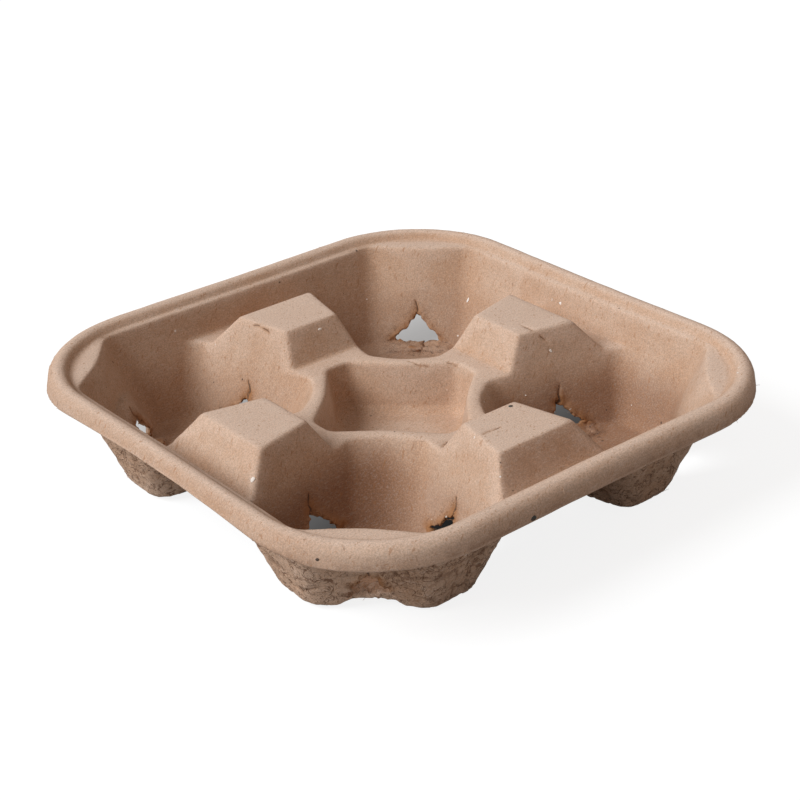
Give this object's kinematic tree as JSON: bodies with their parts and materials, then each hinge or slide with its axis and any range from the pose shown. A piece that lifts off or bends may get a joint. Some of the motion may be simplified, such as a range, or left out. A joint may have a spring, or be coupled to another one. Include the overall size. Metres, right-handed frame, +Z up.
{
  "type": "moulded pulp cup carrier",
  "caption": "Square moulded pulp tray with rounded corners, tapered cup pockets, raised bosses between them, a middle well and a rolled rim, for carrying drinks cups",
  "frame": {"origin": "middle of the four feet, on the surface the tray stands on", "axes": "+Z up out of the pockets; +X and +Y point to the middles of two neighbouring sides, so the pockets lie on the diagonals"},
  "size_m": [0.216, 0.216, 0.0442],
  "materials": {
    "pulp": "matte moulded paper pulp, unbleached brown, felted outside and smoother inside"
  },
  "bodies": {
    "root": {"pulp_tray": "pulp"}
  },
  "joints": []
}
